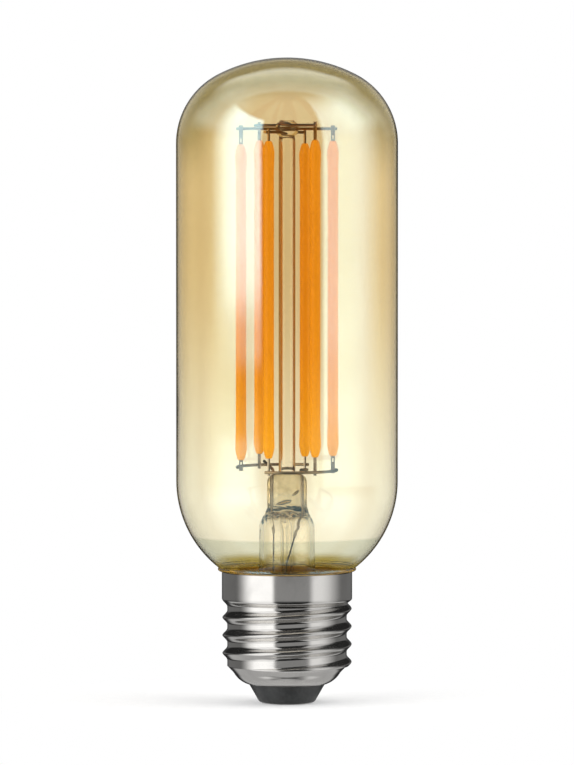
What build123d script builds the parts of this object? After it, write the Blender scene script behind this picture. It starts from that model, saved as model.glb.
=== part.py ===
from build123d import *
from math import acos, asin, atan, cos, degrees, hypot, radians, remainder, sin, sqrt, tan
import os

# Tubular filament bulb with a screw cap, in millimetres.
# The bulb's axis is Z. The origin is the middle of the centre contact's outer face,
# and +Z runs through the cap to the top of the glass dome. -Y is the front.

# Glass bulb
overall_length = 131.1
tube_diameter = 45.0
bulb_wall = 0.6
crown_radius = 30.5
dome_corner_radius = 15.75
lip_overhang = 0.8
lip_height = 0.8
lip_gap = 0.1
neck_depth = 6.0
neck_clearance = 0.35

# Screw shell
cap_height = 26.8
collar_height = 5.6
collar_margin = 0.1
thread_crest_diameter = 26.3
thread_depth = 1.0
thread_pitch = 25.4 / 7
ridge_base_width = 2.6
ridge_crest_width = 0.9
ridge_flat_width = 0.4
ridge_sink = 0.15
thread_lead_in = 0.8
runout_angle = 200.0
shell_wall = 0.3
bowl_radius = 5.0
bowl_slope_angle = 14.0
bowl_sweep_angle = 48.0
bowl_shoulder = 1.25

# Insulator and centre contact
insulator_height = 3.8
insulator_taper = 2.1
insulator_edge = 0.9
insulator_plug_height = 2.3
insulator_recess_depth = 1.6
board_seat_width = 3.2
contact_margin = 0.3
contact_thickness = 0.6
contact_proud = 0.15
rivet_diameter = 2.4
rivet_head_height = 0.5

# Glass stem
stem_diameter = 11.4
stem_wall = 0.9
seal_height = 1.0
flare_height = 6.0
stem_height = 15.4
stem_shoulder_height = 4.5
press_height = 6.0
press_width = 8.1
press_wall = 0.6
press_corner = 1.2
cavity_height = 2.4
cavity_side_wall = 0.55
exhaust_diameter = 2.8
exhaust_bore = 1.4
exhaust_clearance = 0.2
exhaust_length = 23.5
exhaust_tip_length = 3.0
port_height = 1.1

# Support rod
rod_diameter = 3.4
bead_diameter = 4.7
bead_cover = 0.4
bead_crown = 0.35
bead_clearance = 12.05

# Filaments, one lift for each, as they hang
ring_radius = 9.4
first_angle = 7.0
filament_lifts = (0.0, -0.5, 0.1, -0.7, 0.0, 0.2)
filament_diameter = 2.1
filament_swell = 0.12
filament_taper = 2.2
filament_swell_length = 5.0
filament_top_drop = 2.5
filament_foot_height = 3.5
tab_width = 0.8
tab_thickness = 0.25
tab_reach = 0.4
tab_slot_width = 0.3
tab_slot_length = 0.8
tab_slot_offset = 0.4
tab_end_margin = 0.03

# Wires
wire_diameter = 0.6
cross_wire_gap = 0.1
weld_gap = 0.01
wire_overhang = 0.5
front_frame_height = 0.7
back_frame_height = 1.3
lead_edge_distance = 1.25
lead_rise = 0.75
lead_bend_radius = 0.8
left_lead_angle = 117.0
right_lead_angle = 293.0
left_weld_drop = 4.2
right_bend_drop = 0.7
right_weld_drop = 4.8
right_turn_drop = 10.1
right_turn_x = -0.1
right_turn_y = -2.9
outer_lead_diameter = 0.32
outer_bend_radius = 2.0

# Driver
board_thickness = 1.0
board_clearance = 0.3
capacitor_diameter = 6.3
capacitor_height = 8.5
capacitor_groove_height = 1.2
capacitor_groove_depth = 0.3
capacitor_edge = 0.4
capacitor_x = 5.0
capacitor_y = 2.4
package_x = -6.0
rectifier_y = 3.4
rectifier_length = 4.6
rectifier_width = 3.8
rectifier_height = 2.3
rectifier_pins = 2
rectifier_pin_pitch = 2.5
chip_y = -3.4
chip_length = 4.9
chip_width = 3.9
chip_height = 1.5
chip_pins = 4
chip_pin_pitch = 1.27
pin_width = 0.5
pin_thickness = 0.2
pin_reach = 0.7
resistor_diameter = 2.3
resistor_length = 5.6
resistor_x = 3.4
resistor_y = -5.2
resistor_leg_diameter = 0.5
resistor_leg_reach = 0.9
resistor_leg_bend = 0.5
hookup_wire_diameter = 0.6
hookup_wire_bend = 0.8
shell_wire_inset = 1.2
shell_wire_rise = 2.2
shell_wire_top_gap = 1.0

# Shell levels and radii
crest_radius = thread_crest_diameter / 2
root_radius = crest_radius - thread_depth
collar_radius = crest_radius + collar_margin
bowl_start = bowl_slope_angle - 90
bowl_end = bowl_start + bowl_sweep_angle
bowl_centre_r = root_radius - bowl_shoulder - bowl_radius * cos(radians(bowl_end))
bowl_centre_z = insulator_height - bowl_radius * sin(radians(bowl_start))
base_radius = bowl_centre_r + bowl_radius * cos(radians(bowl_start))
root_z = bowl_centre_z + bowl_radius * sin(radians(bowl_end)) + bowl_shoulder
collar_z = cap_height - collar_height
step_z = collar_z - thread_depth - collar_margin
miter = tan(radians(22.5))
thread_z = root_z + thread_lead_in
thread_rise = collar_z + ridge_crest_width / 2 - thread_z
thread_end_angle = remainder(360 * thread_rise / thread_pitch, 360)
runout_drop = thread_pitch * runout_angle / 360
runout_cone = degrees(atan(thread_depth / runout_drop))

# Bulb levels and radii
tube_radius = tube_diameter / 2
neck_radius = root_radius - shell_wall - neck_clearance
neck_bore = neck_radius - bulb_wall
lip_radius = collar_radius + lip_overhang
lip_z = cap_height + lip_gap
shoulder_z = lip_z + lip_height + sqrt(tube_radius**2 - lip_radius**2)
seal_z = cap_height - neck_depth
crown_z = overall_length - crown_radius
corner_r = tube_radius - dome_corner_radius
corner_z = crown_z + sqrt((crown_radius - dome_corner_radius) ** 2 - corner_r**2)
corner_angle = degrees(acos(corner_r / (crown_radius - dome_corner_radius)))

# Stem and rod levels
stem_radius = stem_diameter / 2
stem_bore = stem_radius - stem_wall
stem_top_z = seal_z + stem_height
cavity_top_z = stem_top_z + cavity_height
press_z = stem_top_z + stem_shoulder_height
press_top_z = press_z + press_height
cavity_thickness = exhaust_diameter + 2 * exhaust_clearance
press_thickness = cavity_thickness + 2 * press_wall
exhaust_end_z = cavity_top_z - exhaust_length
wire_radius = wire_diameter / 2
cross_wire_pitch = wire_diameter + cross_wire_gap
bead_height = 2 * (cross_wire_pitch + wire_radius + bead_cover)
bead_z = overall_length - bulb_wall - bead_clearance - bead_crown - bead_height / 2
rod_radius = rod_diameter / 2

# Filament and frame places. Opposite filaments share a cross wire, and three neighbours share a frame wire.
filament_count = len(filament_lifts)
half_count = filament_count // 2
filament_angles = [first_angle + 360 / filament_count * k for k in range(filament_count + 1)]
cross_wire_z = [bead_z + cross_wire_pitch * step for step in (0, -1, 1)]
front_frame_z = press_top_z + front_frame_height
back_frame_z = press_top_z + back_frame_height
frame_radius = ring_radius + tab_width / 2 + wire_radius + weld_gap
wire_offset = wire_radius + tab_thickness / 2 + weld_gap
filament_bottom_z = press_top_z + filament_foot_height
filament_top_z = bead_z - filament_top_drop
filament_end_radius = hypot(tab_width, tab_thickness) / 2 + tab_end_margin

# Lead places
lead_x = press_width / 2 - lead_edge_distance
lead_top_z = press_top_z + lead_rise
left_weld = (-lead_x, 0, cavity_top_z - left_weld_drop)
right_bend = (lead_x, 0, cavity_top_z - right_bend_drop)
right_turn = (right_turn_x, right_turn_y, cavity_top_z - right_turn_drop)
right_share = (right_weld_drop - right_bend_drop) / (right_turn_drop - right_bend_drop)
right_weld = tuple(a + (b - a) * right_share for a, b in zip(right_bend, right_turn))

# Insulator and driver levels
recess_z = insulator_height + insulator_plug_height - insulator_recess_depth
plug_top_z = insulator_height + insulator_plug_height
plug_sweep = degrees(asin((plug_top_z - bowl_centre_z) / (bowl_radius - shell_wall))) - bowl_start
plug_radius = bowl_centre_r + (bowl_radius - shell_wall) * cos(radians(bowl_start + plug_sweep))
tip_radius = base_radius - insulator_taper
contact_radius = tip_radius - insulator_edge - contact_margin
board_top_z = plug_top_z + board_thickness
board_radius = plug_radius - board_clearance
resistor_z = board_top_z + resistor_diameter / 2
shell_wire_radius = root_radius - shell_wall - hookup_wire_diameter / 2


def save(piece, name):
    """Labels a finished piece and writes it."""
    piece.part.label = name
    export_step(piece.part, f"parts/{name}.step")


def ray(angle, radius, z):
    """Point at an angle round the bulb's axis."""
    return (radius * cos(radians(angle)), radius * sin(radians(angle)), z)


def radial_plane(angle, radius):
    """Upright plane through the axis, with its origin at a radius, local x outward and y up."""
    outward = ray(angle, 1, 0)
    return Plane(origin=ray(angle, radius, 0), x_dir=outward, z_dir=(outward[1], -outward[0], 0))


def shell_outline(inset):
    """Side outline of the screw shell from its base edge to its rim, moved inward."""
    bowl = CenterArc((bowl_centre_r, bowl_centre_z), bowl_radius - inset, bowl_start, bowl_sweep_angle)
    lift = miter * inset
    sides = Polyline(
        bowl @ 1,
        (root_radius - inset, root_z + lift),
        (root_radius - inset, step_z + lift),
        (collar_radius - inset, collar_z + lift),
        (collar_radius - inset, cap_height),
    )
    return bowl @ 0, sides @ 1


def ridge_outline():
    """Section of the thread's ridge, with an eased crest, sunk a little into the root."""
    shoulder = crest_radius - ridge_crest_width / 4
    foot = root_radius - ridge_sink
    Polyline(
        (foot, thread_z - ridge_base_width / 2),
        (shoulder, thread_z - ridge_crest_width / 2),
        (crest_radius, thread_z - ridge_flat_width / 2),
        (crest_radius, thread_z + ridge_flat_width / 2),
        (shoulder, thread_z + ridge_crest_width / 2),
        (foot, thread_z + ridge_base_width / 2),
        close=True,
    )


def bulb_outline(inset, foot_z):
    """Side outline of the bulb from its shoulder's foot to the top of its dome, moved inward."""
    drop = degrees(asin((shoulder_z - foot_z) / (tube_radius - inset)))
    shoulder = CenterArc((0, shoulder_z), tube_radius - inset, -drop, drop)
    corner = CenterArc((corner_r, corner_z), dome_corner_radius - inset, 0, corner_angle)
    crown = CenterArc((0, crown_z), crown_radius - inset, corner_angle, 90 - corner_angle)
    Line(shoulder @ 1, corner @ 0)
    return shoulder @ 0, crown @ 1


def wire(points, diameter, bend):
    """Round wire along straight runs with bends between them."""
    with BuildPart() as run:
        with BuildLine() as path:
            FilletPolyline(*points, radius=bend)
        with BuildSketch(path.line ^ 0):
            Circle(diameter / 2)
        sweep()
    return run


def frame_wire(from_angle, to_angle, z):
    """Wire bent round the axis just outside the lower tabs that it carries."""
    overhang = degrees(wire_overhang / frame_radius)
    with BuildPart() as run:
        with BuildSketch(radial_plane(from_angle - overhang, frame_radius)):
            with Locations((0, z)):
                Circle(wire_radius)
        revolve(axis=Axis.Z, revolution_arc=to_angle - from_angle + 2 * overhang)
    return run


def tab(angle, coat_z, far_z):
    """Flat metal strip from a filament's end to the wire that carries it, slotted near the filament."""
    way = 1 if far_z > coat_z else -1
    slot_z = coat_z + way * (tab_slot_offset + tab_slot_length / 2)
    with BuildPart() as strip:
        with BuildSketch(radial_plane(angle, ring_radius)):
            with Locations((0, (coat_z + far_z) / 2)):
                Rectangle(tab_width, abs(far_z - coat_z))
            with Locations((0, slot_z)):
                Rectangle(tab_slot_width, tab_slot_length, mode=Mode.SUBTRACT)
        extrude(amount=tab_thickness / 2, both=True)
    return strip


def lead_end(x, angle, frame_z):
    """End of a lead that leaves the press at x and crosses just over a frame wire."""
    cross = Vector(*ray(angle, frame_radius, frame_z + wire_diameter + weld_gap))
    start = Vector(x, 0, lead_top_z)
    level = hypot(cross.X - start.X, cross.Y - start.Y)
    slope = (cross.Z - start.Z) / level
    lift = wire_diameter * (sqrt(1 + slope**2) - 1)
    way = cross + Vector(0, 0, lift) - start
    return start + way * (1 + wire_overhang / level)


def package(y, length, width, height, pins, pitch):
    """Moulded body on the board, with pins on both sides."""
    with BuildPart() as body:
        with BuildSketch(Plane.XY.offset(board_top_z + pin_thickness)):
            with Locations((package_x, y)):
                Rectangle(width, length)
        extrude(amount=height - pin_thickness)
        with BuildSketch(Plane.XY.offset(board_top_z)):
            with Locations((package_x, y)):
                with GridLocations(pitch, pitch, 1, pins):
                    Rectangle(width + 2 * pin_reach, pin_width)
        extrude(amount=pin_thickness)
    return body


os.makedirs("parts", exist_ok=True)

# Blown glass bulb: tube, dome, round shoulder, and a neck that stands in the cap.
with BuildPart() as glass_bulb:
    with BuildSketch(Plane.XZ):
        with BuildLine():
            lip, outer_top = bulb_outline(0, lip_z + lip_height)
            ledge, inner_top = bulb_outline(bulb_wall, lip_z + bulb_wall)
            throat = CenterArc((neck_radius, lip_z), bulb_wall, 90, 90)
            Line(outer_top, inner_top)
            Line(ledge, throat @ 0)
            Polyline(
                throat @ 1,
                (neck_bore, seal_z),
                (neck_radius, seal_z),
                (neck_radius, lip_z),
                (lip_radius, lip_z),
                lip,
            )
        make_face()
    revolve(axis=Axis.Z)
save(glass_bulb, "glass_bulb")

# Screw shell: thin rolled sheet with a round thread under a plain collar. The thread
# starts on the +X side and sinks back into the root below that. The sheet's seam is
# kept away from both ends of the thread.
seam_plane = radial_plane(180 + thread_end_angle / 2, 0)
with BuildPart() as screw_shell:
    with BuildSketch(seam_plane):
        with BuildLine():
            base, rim = shell_outline(0)
            Polyline(base, (0, insulator_height), (0, cap_height), rim)
        make_face()
    revolve(axis=Axis.Z)
    with BuildSketch(Plane.XZ):
        with BuildLine():
            ridge_outline()
        make_face()
    with BuildLine() as thread_path:
        Helix(thread_pitch, thread_rise, root_radius, center=(0, 0, thread_z))
    sweep(is_frenet=True)
    with BuildSketch(Plane.XZ):
        with BuildLine():
            ridge_outline()
        make_face()
    runout_path = Helix(
        thread_pitch,
        runout_drop,
        root_radius,
        center=(0, 0, thread_z),
        direction=(0, 0, -1),
        cone_angle=-runout_cone,
        mode=Mode.PRIVATE,
    )
    sweep(path=runout_path.rotate(Axis.Z, 180), is_frenet=True)
    with BuildSketch(seam_plane):
        with BuildLine():
            base, rim = shell_outline(shell_wall)
            Polyline(base, (base.X, insulator_height), (0, insulator_height), (0, cap_height), rim)
        make_face()
    revolve(axis=Axis.Z, mode=Mode.SUBTRACT)
save(screw_shell, "screw_shell")

# Insulator: cone below the shell, and a plug that fills the shell's bowl and seats the board.
with BuildPart() as insulator:
    with BuildSketch(Plane.XZ):
        with BuildLine():
            plug = CenterArc(
                (bowl_centre_r, bowl_centre_z), bowl_radius - shell_wall, bowl_start, plug_sweep
            )
            Polyline(
                plug @ 0,
                ((plug @ 0).X, insulator_height),
                (base_radius, insulator_height),
                (tip_radius, contact_proud),
                (0, contact_proud),
                (0, recess_z),
                (plug_radius - board_seat_width, recess_z),
                (plug_radius - board_seat_width, plug_top_z),
                plug @ 1,
            )
        make_face()
        fillet(vertices().sort_by_distance((tip_radius, contact_proud))[0], insulator_edge)
    revolve(axis=Axis.Z)
    with BuildSketch(Plane.XY):
        Circle(contact_radius)
    extrude(amount=contact_thickness, mode=Mode.SUBTRACT)
    with BuildSketch(Plane.XY):
        Circle(rivet_diameter / 2)
    extrude(amount=recess_z, mode=Mode.SUBTRACT)
save(insulator, "insulator")

# Centre contact: disc with a rivet that is spread over the insulator inside.
with BuildPart() as centre_contact:
    with BuildSketch(Plane.XY):
        Circle(contact_radius)
    extrude(amount=contact_thickness)
    chamfer(faces().sort_by(Axis.Z)[0].edges(), contact_proud)
    with BuildSketch(Plane.XY.offset(contact_thickness)):
        Circle(rivet_diameter / 2)
    extrude(amount=recess_z - contact_thickness)
    with BuildSketch(Plane.XY.offset(recess_z)):
        Circle(rivet_diameter / 2 + rivet_head_height)
    extrude(amount=rivet_head_height)
save(centre_contact, "centre_contact")

# Cement: ring that holds the bulb's neck in the collar.
with BuildPart() as cement:
    with BuildSketch(Plane.XY.offset(collar_z + miter * shell_wall)):
        Circle(collar_radius - shell_wall)
        Circle(neck_radius, mode=Mode.SUBTRACT)
    extrude(amount=cap_height - collar_z - miter * shell_wall)
save(cement, "cement")

# Glass stem: flare sealed to the neck, round tube, and a flat press round the lead wires.
with BuildPart() as glass_stem:
    with BuildSketch(Plane.XZ):
        with BuildLine():
            outer_flare = TangentArc(
                (stem_radius, seal_z + seal_height + flare_height),
                (neck_bore, seal_z + seal_height),
                tangent=(0, -1),
            )
            inner_flare = TangentArc(
                (stem_bore, seal_z + seal_height + flare_height - stem_wall),
                (neck_bore - stem_wall, seal_z),
                tangent=(0, -1),
            )
            Polyline(outer_flare @ 1, (neck_bore, seal_z), inner_flare @ 1)
            Polyline(outer_flare @ 0, (stem_radius, stem_top_z), (stem_bore, stem_top_z), inner_flare @ 0)
        make_face()
    revolve(axis=Axis.Z)
    with BuildSketch(Plane.XY.offset(stem_top_z)):
        Circle(stem_radius)
    with BuildSketch(Plane.XY.offset(press_z)):
        RectangleRounded(press_width, press_thickness, press_corner)
    loft()
    with BuildSketch(Plane.XY.offset(press_z)):
        RectangleRounded(press_width, press_thickness, press_corner)
    extrude(amount=press_height)
    fillet(faces().sort_by(Axis.Z)[-1].edges().filter_by(Axis.Y), press_corner)
    with BuildSketch(Plane.XY.offset(stem_top_z)):
        Circle(stem_bore)
    with BuildSketch(Plane.XY.offset(cavity_top_z)):
        RectangleRounded(press_width - 2 * cavity_side_wall, cavity_thickness, press_corner)
    loft(mode=Mode.SUBTRACT)
    with BuildSketch(Plane.XY.offset(cavity_top_z)):
        with Locations((-lead_x, 0), (lead_x, 0)):
            Circle(wire_radius)
    extrude(amount=press_top_z - cavity_top_z, mode=Mode.SUBTRACT)
    with BuildSketch(Plane.XY.offset(cavity_top_z)):
        Circle(exhaust_bore / 2)
    extrude(amount=port_height, mode=Mode.SUBTRACT)
    with BuildSketch(Plane.XZ):
        with Locations((0, cavity_top_z + port_height)):
            Circle(exhaust_bore / 2)
    extrude(amount=stem_radius, mode=Mode.SUBTRACT)
save(glass_stem, "glass_stem")

# Exhaust tube: runs down inside the stem and is melted shut in the cap.
with BuildPart() as exhaust_tube:
    with BuildSketch(Plane.XZ):
        with BuildLine():
            Polyline(
                (exhaust_bore / 2, cavity_top_z),
                (exhaust_diameter / 2, cavity_top_z),
                (exhaust_diameter / 2, exhaust_end_z + exhaust_tip_length),
                (0, exhaust_end_z),
                (0, exhaust_end_z + exhaust_tip_length / 2),
                (exhaust_bore / 2, exhaust_end_z + exhaust_tip_length),
                close=True,
            )
        make_face()
    revolve(axis=Axis.Z)
save(exhaust_tube, "exhaust_tube")

# Support rod: stands on the press, with a bead at its top that holds the cross wires.
with BuildPart() as support_rod:
    with BuildSketch(radial_plane(first_angle + 180 / filament_count, 0)):
        with BuildLine():
            bead = ThreePointArc(
                (rod_radius, bead_z - bead_height / 2),
                (bead_diameter / 2, bead_z),
                (rod_radius, bead_z + bead_height / 2),
            )
            crown = TangentArc((0, bead_z + bead_height / 2 + bead_crown), bead @ 1, tangent=(1, 0))
            Polyline(bead @ 0, (rod_radius, press_top_z), (0, press_top_z), crown @ 0)
        make_face()
    revolve(axis=Axis.Z)
    for pair in range(half_count):
        with BuildSketch(radial_plane(filament_angles[pair] + 90, wire_offset)):
            with Locations((0, cross_wire_z[pair])):
                Circle(wire_radius)
        extrude(amount=bead_diameter, both=True, mode=Mode.SUBTRACT)
save(support_rod, "support_rod")

# Cross wires: each joins two opposite filaments at the top.
for pair in range(half_count):
    with BuildPart() as cross_wire:
        with BuildSketch(radial_plane(filament_angles[pair] + 90, wire_offset)):
            with Locations((0, cross_wire_z[pair])):
                Circle(wire_radius)
        extrude(amount=ring_radius + tab_width / 2 + wire_overhang, both=True)
    save(cross_wire, f"cross_wire_{pair + 1}")

# Filaments: coated strips with swollen, tapered ends, and a metal tab at each end.
for k, lift in enumerate(filament_lifts):
    angle = filament_angles[k]
    bottom_z = filament_bottom_z + lift
    top_z = filament_top_z + lift
    swell_radius = filament_diameter / 2 + filament_swell
    with BuildPart() as filament:
        with BuildSketch(radial_plane(angle, ring_radius)):
            with BuildLine():
                Polyline(
                    (0, bottom_z),
                    (filament_end_radius, bottom_z),
                    (swell_radius, bottom_z + filament_taper),
                    (filament_diameter / 2, bottom_z + filament_swell_length),
                    (filament_diameter / 2, top_z - filament_swell_length),
                    (swell_radius, top_z - filament_taper),
                    (filament_end_radius, top_z),
                    (0, top_z),
                    close=True,
                )
            make_face()
        revolve(axis=Axis(ray(angle, ring_radius, 0), (0, 0, 1)))
    save(filament, f"filament_{k + 1}")
    frame_z = back_frame_z if 0 < k <= half_count else front_frame_z
    save(tab(angle, bottom_z, frame_z - wire_radius - tab_reach), f"bottom_tab_{k + 1}")
    save(tab(angle, top_z, cross_wire_z[k % half_count] + wire_radius + tab_reach), f"top_tab_{k + 1}")

# Frame wires: one behind and one in front, each under three filaments.
save(frame_wire(filament_angles[1], filament_angles[half_count], back_frame_z), "back_frame_wire")
save(frame_wire(filament_angles[half_count + 1], filament_angles[-1], front_frame_z), "front_frame_wire")

# Inner leads: from the welds below the press, up through it and out over the frame wires.
left_points = [left_weld, (-lead_x, 0, lead_top_z), lead_end(-lead_x, left_lead_angle, back_frame_z)]
save(wire(left_points, wire_diameter, lead_bend_radius), "left_inner_lead")
right_points = [
    right_weld,
    right_bend,
    (lead_x, 0, lead_top_z),
    lead_end(lead_x, right_lead_angle, front_frame_z),
]
save(wire(right_points, wire_diameter, lead_bend_radius), "right_inner_lead")

# Outer leads: thin wires from the welds down to the board.
with BuildPart() as left_outer_lead:
    with BuildSketch(Plane.XY.offset(board_top_z)):
        with Locations((-lead_x, 0)):
            Circle(outer_lead_diameter / 2)
    extrude(amount=left_weld[2] - board_top_z)
save(left_outer_lead, "left_outer_lead")
outer_points = [right_weld, right_turn, (right_turn_x, right_turn_y, board_top_z)]
save(wire(outer_points, outer_lead_diameter, outer_bend_radius), "right_outer_lead")

# Driver board, on the insulator's seat, and the parts on it.
with BuildPart() as driver_board:
    with BuildSketch(Plane.XY.offset(plug_top_z)):
        Circle(board_radius)
    extrude(amount=board_thickness)
save(driver_board, "driver_board")

with BuildPart() as smoothing_capacitor:
    with BuildSketch(Plane.XY.offset(board_top_z)):
        with Locations((capacitor_x, capacitor_y)):
            Circle(capacitor_diameter / 2)
    extrude(amount=capacitor_height)
    chamfer(faces().sort_by(Axis.Z)[-1].edges(), capacitor_edge)
    with BuildSketch(Plane.XY.offset(board_top_z + capacitor_groove_height)):
        with Locations((capacitor_x, capacitor_y)):
            Circle(capacitor_diameter / 2)
            Circle(capacitor_diameter / 2 - capacitor_groove_depth, mode=Mode.SUBTRACT)
    extrude(amount=capacitor_groove_depth, mode=Mode.SUBTRACT)
save(smoothing_capacitor, "smoothing_capacitor")

rectifier = package(
    rectifier_y, rectifier_length, rectifier_width, rectifier_height, rectifier_pins, rectifier_pin_pitch
)
save(rectifier, "bridge_rectifier")
chip = package(chip_y, chip_length, chip_width, chip_height, chip_pins, chip_pin_pitch)
save(chip, "driver_chip")

with BuildPart() as fuse_resistor:
    leg_x = resistor_length / 2 + resistor_leg_reach
    with BuildLine() as legs:
        FilletPolyline(
            (resistor_x - leg_x, resistor_y, board_top_z),
            (resistor_x - leg_x, resistor_y, resistor_z),
            (resistor_x + leg_x, resistor_y, resistor_z),
            (resistor_x + leg_x, resistor_y, board_top_z),
            radius=resistor_leg_bend,
        )
    with BuildSketch(legs.line ^ 0):
        Circle(resistor_leg_diameter / 2)
    sweep()
    with BuildSketch(Plane.YZ.offset(resistor_x)):
        with Locations((resistor_y, resistor_z)):
            Circle(resistor_diameter / 2)
    extrude(amount=resistor_length / 2, both=True)
save(fuse_resistor, "fuse_resistor")

# Wires from the board to the centre contact and to the shell's wall.
with BuildPart() as contact_wire:
    with BuildSketch(Plane.XY.offset(recess_z + rivet_head_height)):
        Circle(hookup_wire_diameter / 2)
    extrude(amount=insulator_recess_depth - rivet_head_height)
save(contact_wire, "contact_wire")
shell_points = [
    (0, board_radius - shell_wire_inset, board_top_z),
    (0, board_radius - shell_wire_inset, board_top_z + shell_wire_rise),
    (0, shell_wire_radius, board_top_z + shell_wire_rise),
    (0, shell_wire_radius, seal_z - shell_wire_top_gap),
]
save(wire(shell_points, hookup_wire_diameter, hookup_wire_bend), "shell_wire")
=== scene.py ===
import math

import bmesh
import bpy
from bpy.props import FloatProperty, FloatVectorProperty, IntProperty, PointerProperty
from bpy.types import NodeSocket, Operator, Panel, PropertyGroup
from mathutils import Matrix, Vector


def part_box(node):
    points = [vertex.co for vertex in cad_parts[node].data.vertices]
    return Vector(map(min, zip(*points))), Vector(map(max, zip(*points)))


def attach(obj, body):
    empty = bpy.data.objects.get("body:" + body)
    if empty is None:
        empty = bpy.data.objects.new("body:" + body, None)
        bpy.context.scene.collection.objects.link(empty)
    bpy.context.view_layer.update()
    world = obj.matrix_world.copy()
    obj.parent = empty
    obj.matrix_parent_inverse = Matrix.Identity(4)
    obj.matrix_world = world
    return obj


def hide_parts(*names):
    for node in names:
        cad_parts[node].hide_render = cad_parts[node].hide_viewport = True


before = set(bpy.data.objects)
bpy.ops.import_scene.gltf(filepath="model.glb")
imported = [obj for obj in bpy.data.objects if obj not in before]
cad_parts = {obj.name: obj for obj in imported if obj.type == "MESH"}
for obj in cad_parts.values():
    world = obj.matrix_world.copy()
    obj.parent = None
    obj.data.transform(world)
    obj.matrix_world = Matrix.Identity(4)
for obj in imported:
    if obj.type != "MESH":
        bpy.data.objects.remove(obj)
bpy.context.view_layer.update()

bl_info = {
    "name": "Tubular filament bulb",
    "version": (1, 0, 0),
    "blender": (4, 5, 0),
    "location": "3D View > Sidebar > Bulb",
    "description": "Dresses the packed bulb: blown glass, stem, filaments, wires, screw shell and stage",
    "category": "Object",
}

BODY = "root"
FILAMENTS, CROSS_WIRES = 6, 3
NONE_YET = 0.5  # a ray's count of crossings or bounces is below this before the first one

# Heights between which a tone changes, in metres over the floor.
COAT_RISE = (0.031, 0.094)
LOW_TONE_BAND = (0.0338, 0.0344)
DOME = (0.104, 0.122)
LIP = (0.0280, 0.0297)
NECK = (0.0268, 0.0288)
PRESS = (0.036, 0.040)
FILAMENT_FOOT = (0.049, 0.074)
BROWNING = (0.06, 0.09)
# Distances from the middle between which the tone of pressed glass changes, in metres.
PRESS_SIDES = (0.001, 0.0034)

# Limits that leave a panel's edge open: from the front on, all the way round, down and up.
FRONT, ROUND, DOWN, UP = (-10.0, 1.0), (200.0, 1.0), (-100.0, 1.0), (100.0, 1.0)
# The studio's panels: the name of the level, the angle across and the angle upright, then the
# limit and the fade of the left, right, lower and upper edge, in degrees.
GLASS_PANELS = (
    ("left_box", "azimuth", "leaning", (-72.0, 34.0), (-27.0, 5.0), (-1.6, 2.4), (33.0, 5.0)),
    ("glow", "aside", "elevation", (62.0, 40.0), (122.0, 34.0), (16.0, 16.0), (58.0, 28.0)),
    ("left_sweep", "azimuth", "elevation", (-72.0, 30.0), (-30.0, 10.0), (-20.0, 24.0), (-3.3, 0.4)),
    ("right_sweep", "azimuth", "elevation", (40.0, 12.0), (76.0, 30.0), (-40.0, 20.0), (-12.0, 16.0)),
    ("right_box", "azimuth", "elevation", (38.0, 6.0), (97.0, 46.0), (-3.4, 5.0), (56.0, 40.0)),
    ("top_box", "ceiling_x", "ceiling_y", (-34.0, 40.0), (32.0, 38.0), (-5.0, 4.0), (46.0, 16.0)),
    ("front_top", "ceiling_x", "ceiling_y", (-70.0, 40.0), (70.0, 40.0), (-80.0, 40.0), (-5.0, 4.0)),
    ("back", "aside", "elevation", (108.0, 20.0), (157.0, 8.0), (-14.0, 8.0), (50.0, 30.0)),
    ("right_wall", "azimuth", "elevation", (104.0, 20.0), (136.0, 16.0), (-50.0, 10.0), (60.0, 30.0)),
    ("rim", "aside", "elevation", (120.0, 30.0), ROUND, (4.0, 4.0), (24.0, 10.0)),
    ("front", "aside", "elevation", FRONT, (30.0, 8.0), (-14.0, 6.0), (-3.7, 1.2)),
    ("back_top", "aside", "elevation", (115.0, 30.0), ROUND, (10.0, 8.0), (58.0, 20.0)),
    ("sweep", "aside", "elevation", (28.0, 16.0), (90.0, 40.0), (-50.0, 40.0), (-4.0, 4.0)),
    ("table", "aside", "elevation", FRONT, (95.0, 40.0), (-74.0, 6.0), (-12.0, 12.0)),
    ("under", "aside", "elevation", FRONT, ROUND, DOWN, (-74.0, 6.0)),
)
INNER_PANELS = (
    ("left_inner", "azimuth", "elevation", (-80.0, 34.0), (-27.0, 10.0), (-12.0, 20.0), (20.0, 60.0)),
    ("right_inner", "azimuth", "elevation", (38.0, 12.0), (94.0, 40.0), (-12.0, 20.0), (20.0, 60.0)),
    ("table", "aside", "elevation", FRONT, (95.0, 40.0), (-74.0, 20.0), (-16.0, 16.0)),
)
METAL_PANELS = (
    ("left_metal", "azimuth", "elevation", (-84.0, 40.0), (-24.0, 8.0), (-66.0, 18.0), (66.0, 18.0)),
    ("right_metal", "azimuth", "elevation", (44.0, 14.0), (94.0, 40.0), (-66.0, 18.0), (66.0, 18.0)),
    ("front_metal", "aside", "elevation", FRONT, (75.0, 30.0), (-13.0, 8.0), (7.0, 8.0)),
    ("back_metal", "aside", "elevation", (90.0, 40.0), (162.0, 30.0), (-14.0, 10.0), (10.0, 10.0)),
    ("table_metal", "aside", "elevation", FRONT, ROUND, DOWN, (-73.0, 12.0)),
    ("table_metal", "aside", "elevation", (84.0, 40.0), ROUND, (-73.0, 12.0), (-26.0, 10.0)),
    ("ceiling_metal", "aside", "elevation", FRONT, ROUND, (73.0, 12.0), UP),
)


# ---------------------------------------------------------------- properties


def length(name, description, default):
    """Length that a user may change, in metres."""
    return FloatProperty(
        name=name, description=description, default=default, min=0.0, unit="LENGTH", precision=5
    )


def tone(name, description, default):
    """Colour that a user may change."""
    return FloatVectorProperty(
        name=name, description=description, default=default, size=3, min=0.0, max=1.0, subtype="COLOR"
    )


def level(name, place, default):
    """Brightness that a user may change."""
    return FloatProperty(name=name, description=f"Brightness of {place}", default=default, min=0.0)


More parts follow.
